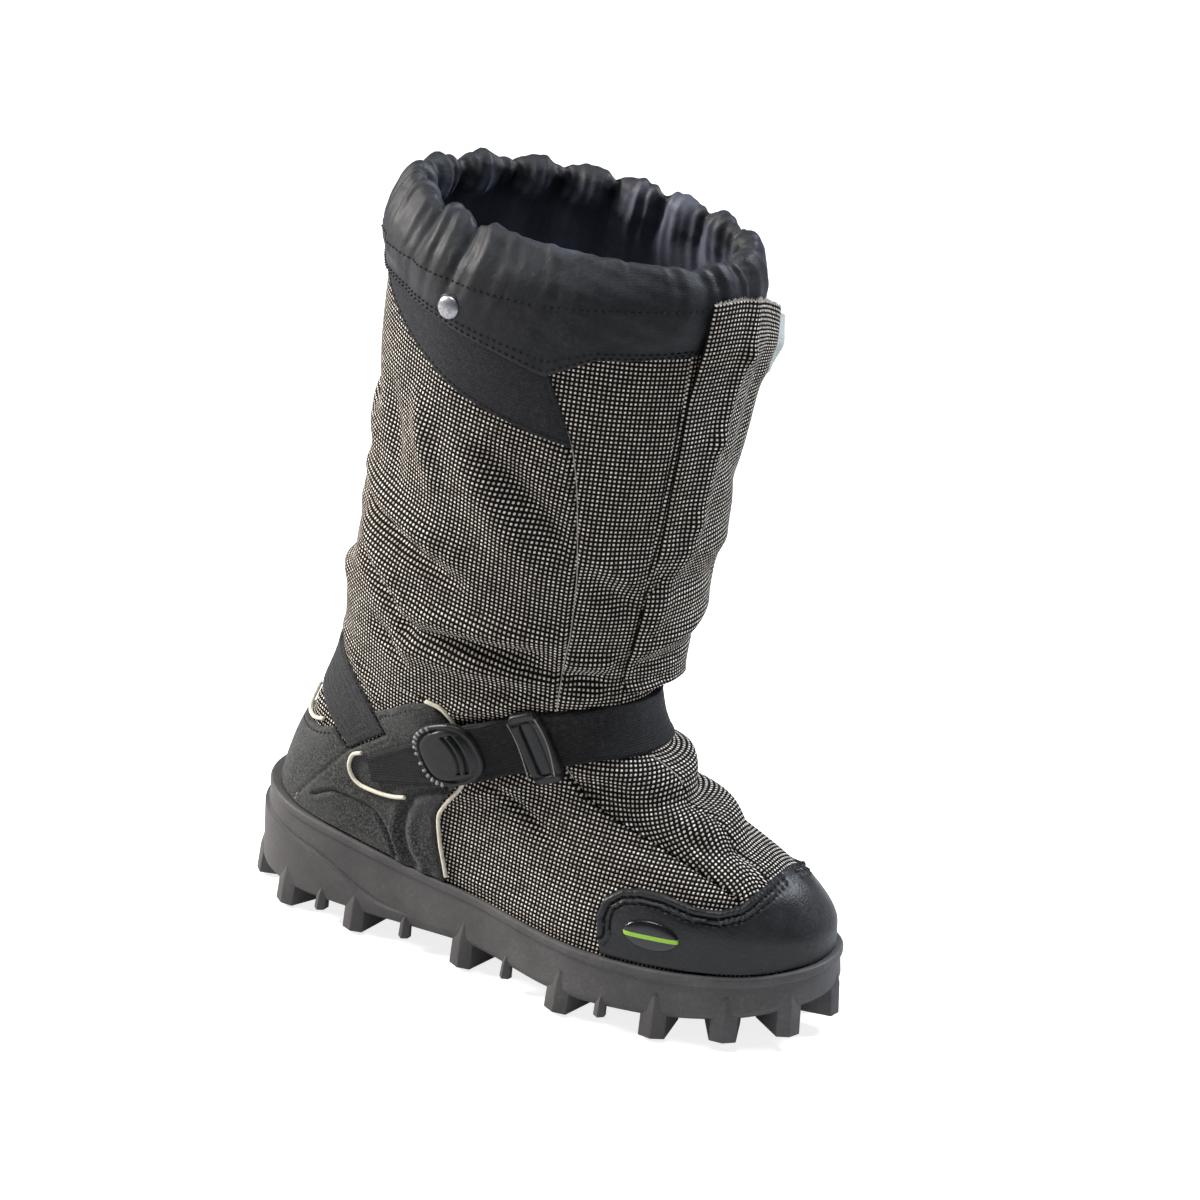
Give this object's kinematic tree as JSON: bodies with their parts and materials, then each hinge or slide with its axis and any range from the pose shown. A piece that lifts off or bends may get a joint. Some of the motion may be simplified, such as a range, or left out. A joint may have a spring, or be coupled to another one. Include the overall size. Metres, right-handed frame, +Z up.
{
  "type": "winter overshoe",
  "caption": "Tall winter overshoe: dotted fabric shaft with gathered collar and front flap, ankle strap, toe cap, heel counter and studded rubber sole.",
  "frame": {"origin": "middle of the overshoe's bounding box, on the floor that its studs stand on", "axes": "+X from the heel to the toe, +Y to the inner (medial) side, +Z up"},
  "size_m": [0.3283, 0.1532, 0.399],
  "materials": {
    "dotted_fabric": "coarse black weave with cream dots",
    "sole_rubber": "matte moulded",
    "cap_rubber": "semi-gloss grained",
    "counter_suede": "napped charcoal",
    "collar_nylon": "gathered nylon with a soft sheen",
    "plain_fabric": "fine plain weave",
    "webbing": "ribbed webbing",
    "black_plastic": "satin moulded",
    "cream_piping": "reflective cord",
    "stud_steel": "bright",
    "snap_metal": "satin",
    "fastening_tape": "hook tape",
    "insole_foam": "matte foam",
    "badge_gloss": "glossy"
  },
  "bodies": {
    "root": {"ankle_strap": "webbing", "back_tab": "webbing", "buckle": "black_plastic", "collar": "collar_nylon", "flap_fastening": "fastening_tape", "gusset_flap": "dotted_fabric", "heel_counter": "counter_suede", "heel_strap": "webbing", "insole": "insole_foam", "outsole": "sole_rubber", "piping_counter_lateral": "cream_piping", "piping_counter_medial": "cream_piping", "piping_heel_lateral": "cream_piping", "piping_heel_medial": "cream_piping", "piping_slot_lateral": "cream_piping", "piping_slot_medial": "cream_piping", "pull_tab": "black_plastic", "side_panel": "plain_fabric", "snap_cap": "snap_metal", "stud_1": "stud_steel", "stud_10": "stud_steel", "stud_11": "stud_steel", "stud_12": "stud_steel", "stud_2": "stud_steel", "stud_3": "stud_steel", "stud_4": "stud_steel", "stud_5": "stud_steel", "stud_6": "stud_steel", "stud_7": "stud_steel", "stud_8": "stud_steel", "stud_9": "stud_steel", "toe_badge": "badge_gloss", "toe_cap": "cap_rubber", "upper": "dotted_fabric"}
  },
  "joints": []
}
